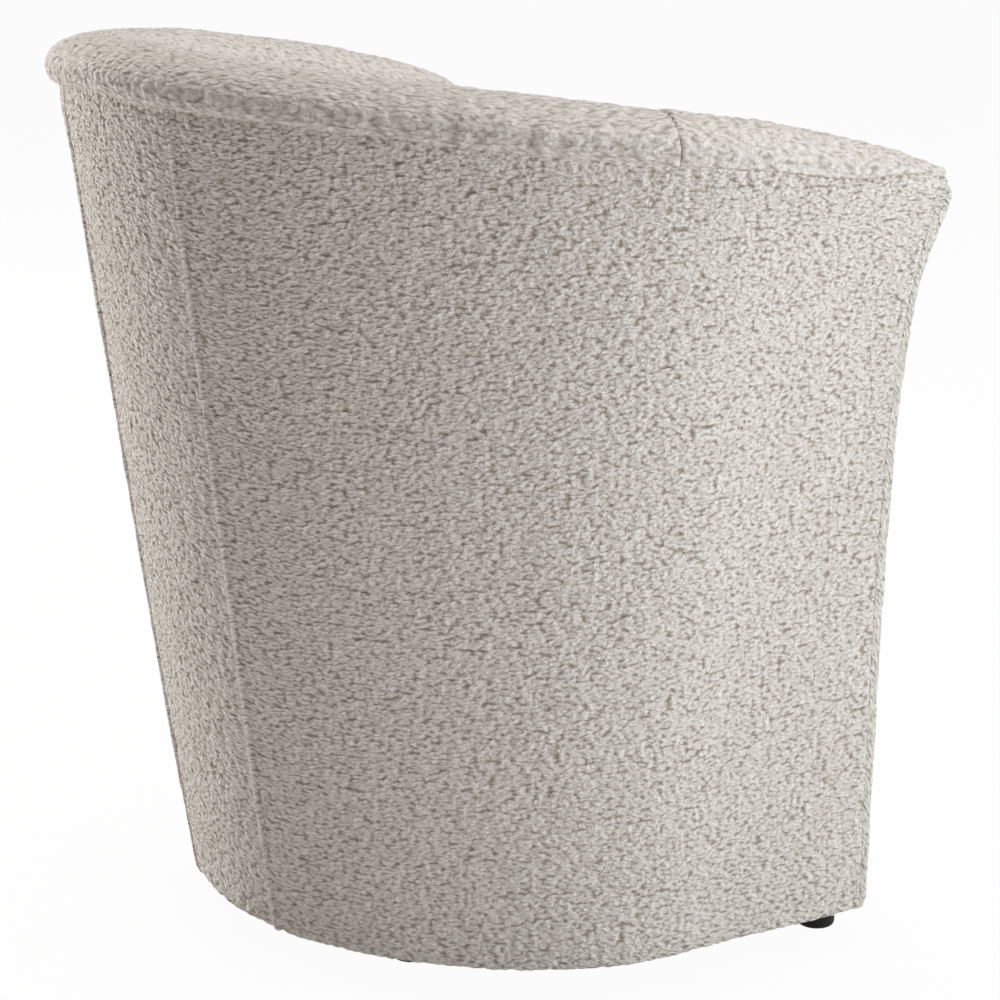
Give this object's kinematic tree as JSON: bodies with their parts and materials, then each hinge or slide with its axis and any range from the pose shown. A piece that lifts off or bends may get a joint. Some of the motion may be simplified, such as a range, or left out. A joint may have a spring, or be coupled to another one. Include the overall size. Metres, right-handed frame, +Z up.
{
  "type": "tub chair",
  "caption": "Upholstered tub chair with a flared horseshoe shell in pile fabric, a rolled rim that falls towards the arms, a loose seat cushion and small round feet",
  "frame": {"origin": "on the floor, under the middle of the chair's outer box", "axes": "+Z up, the sitter faces -Y, the sitter's left is +X"},
  "size_m": [0.72, 0.549, 0.7],
  "materials": {
    "pile_fabric": "ivory boucle pile, matt",
    "plywood": "bare plywood",
    "fibreboard": "bare hardboard",
    "foam": "open-cell foam",
    "spring_steel": "oiled spring wire",
    "zinc_steel": "zinc plated",
    "deck_cloth": "plain woven lining",
    "dust_cloth": "black non-woven cloth",
    "foot_plastic": "black moulded plastic"
  },
  "bodies": {
    "chair": {"base_frame": "plywood", "seat_frame": "plywood", "front_apron": "plywood", "rib_back": "plywood", "rib_back_left": "plywood", "rib_back_right": "plywood", "rib_side_left": "plywood", "rib_side_right": "plywood", "rib_arm_left": "plywood", "rib_arm_right": "plywood", "arm_front_board_left": "plywood", "arm_front_board_right": "plywood", "top_rail": "plywood", "ledger_blocks": "plywood", "seat_springs": "spring_steel", "spring_clips": "zinc_steel", "seat_padding": "foam", "deck_cover": "deck_cloth", "outer_board_back": "fibreboard", "outer_board_left": "fibreboard", "outer_board_right": "fibreboard", "inner_board_back": "fibreboard", "inner_board_left": "fibreboard", "inner_board_right": "fibreboard", "inside_back_padding": "foam", "inside_arm_padding_left": "foam", "inside_arm_padding_right": "foam", "rim_padding": "foam", "front_padding": "foam", "arm_front_padding_left": "foam", "arm_front_padding_right": "foam", "outside_back_cover": "pile_fabric", "outside_arm_cover_left": "pile_fabric", "outside_arm_cover_right": "pile_fabric", "inside_back_cover": "pile_fabric", "inside_arm_cover_left": "pile_fabric", "inside_arm_cover_right": "pile_fabric", "arm_front_cover_left": "pile_fabric", "arm_front_cover_right": "pile_fabric", "front_border_cover": "pile_fabric", "dust_cover": "dust_cloth", "foot_front_left": "foot_plastic", "foot_front_right": "foot_plastic", "foot_rear_left": "foot_plastic", "foot_rear_right": "foot_plastic", "foot_screws": "zinc_steel"},
    "cushion": {"cushion_top_panel": "pile_fabric", "cushion_boxing": "pile_fabric", "cushion_bottom_panel": "pile_fabric", "cushion_foam": "foam"}
  },
  "joints": [
    {"name": "cushion_lift", "type": "slide", "parent": "chair", "child": "cushion", "axis": [0, 0, 1], "range_m": [0, 0.42]}
  ]
}
